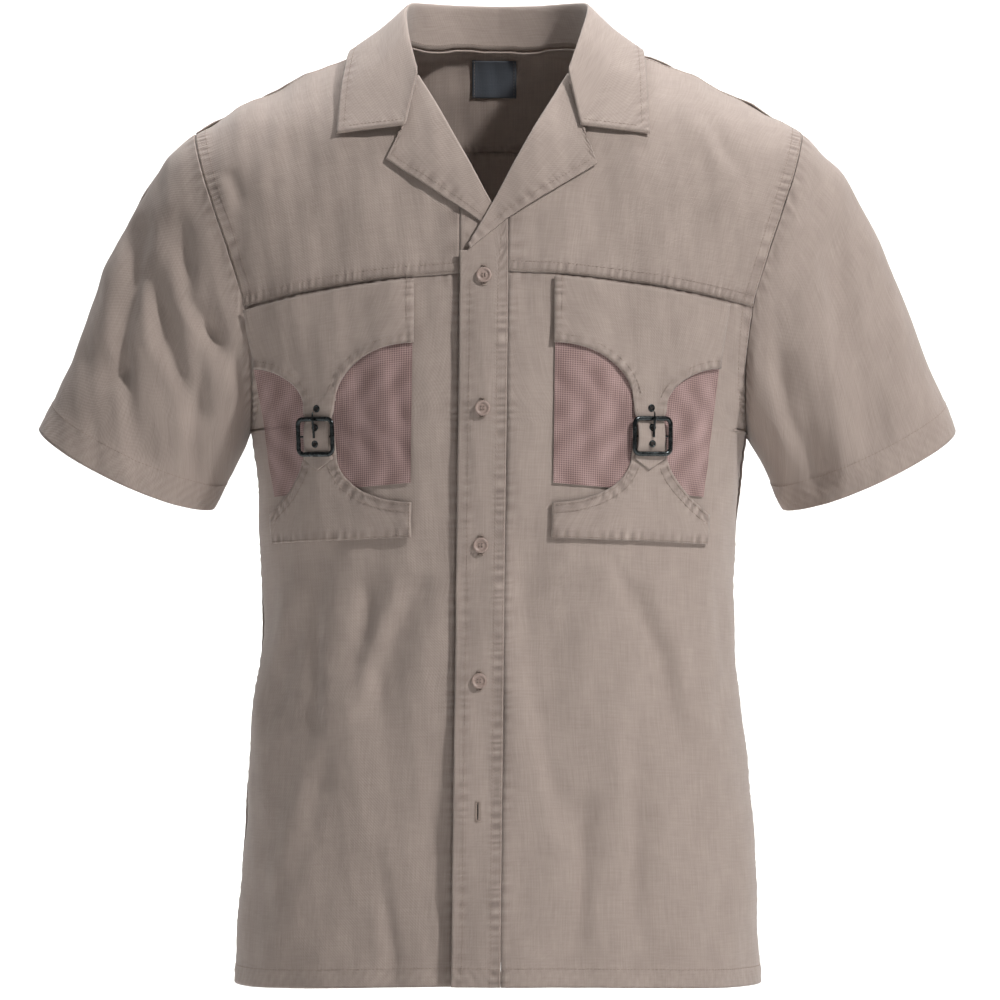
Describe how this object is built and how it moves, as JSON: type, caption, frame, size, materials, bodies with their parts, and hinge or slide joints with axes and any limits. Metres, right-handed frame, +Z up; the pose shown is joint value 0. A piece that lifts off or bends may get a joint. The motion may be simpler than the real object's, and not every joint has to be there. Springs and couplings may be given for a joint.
{
  "type": "short sleeved utility shirt",
  "caption": "Short sleeved button front utility shirt in its hollow worn form, with open collar, turned lapels and buckled mesh chest pockets.",
  "frame": {"origin": "point midway between the two side ends of the back neck, level with the neck opening, where the wearer's shoulders carry the shirt", "axes": "+Z up along the body, -Y out of the front, +X towards the wearer's left"},
  "size_m": [0.7118, 0.2738, 0.7698],
  "materials": {
    "cotton_twill": "washed cotton twill, taupe, brushed matt",
    "pocket_mesh": "fine waffle mesh, mauve brown",
    "black_nickel": "black nickel plate, bright",
    "resin_button": "satin polyester resin",
    "woven_label": "plain woven label, blank"
  },
  "bodies": {
    "root": {"back_panel": "cotton_twill", "back_yoke": "cotton_twill", "front_panel_left": "cotton_twill", "front_panel_right": "cotton_twill", "front_yoke_left": "cotton_twill", "front_yoke_right": "cotton_twill", "placket_left": "cotton_twill", "placket_right": "cotton_twill", "lapel_left": "cotton_twill", "lapel_right": "cotton_twill", "collar": "cotton_twill", "sleeve_left": "cotton_twill", "sleeve_right": "cotton_twill", "pocket_flap_left": "cotton_twill", "pocket_flap_right": "cotton_twill", "pocket_base_left": "cotton_twill", "pocket_base_right": "cotton_twill", "pocket_mesh_left": "pocket_mesh", "pocket_mesh_right": "pocket_mesh", "buckle_frame_left": "black_nickel", "buckle_frame_right": "black_nickel", "buckle_prong_left": "black_nickel", "buckle_prong_right": "black_nickel", "button_1": "resin_button", "button_2": "resin_button", "button_3": "resin_button", "button_4": "resin_button", "button_5": "resin_button", "neck_label": "woven_label"}
  },
  "joints": []
}
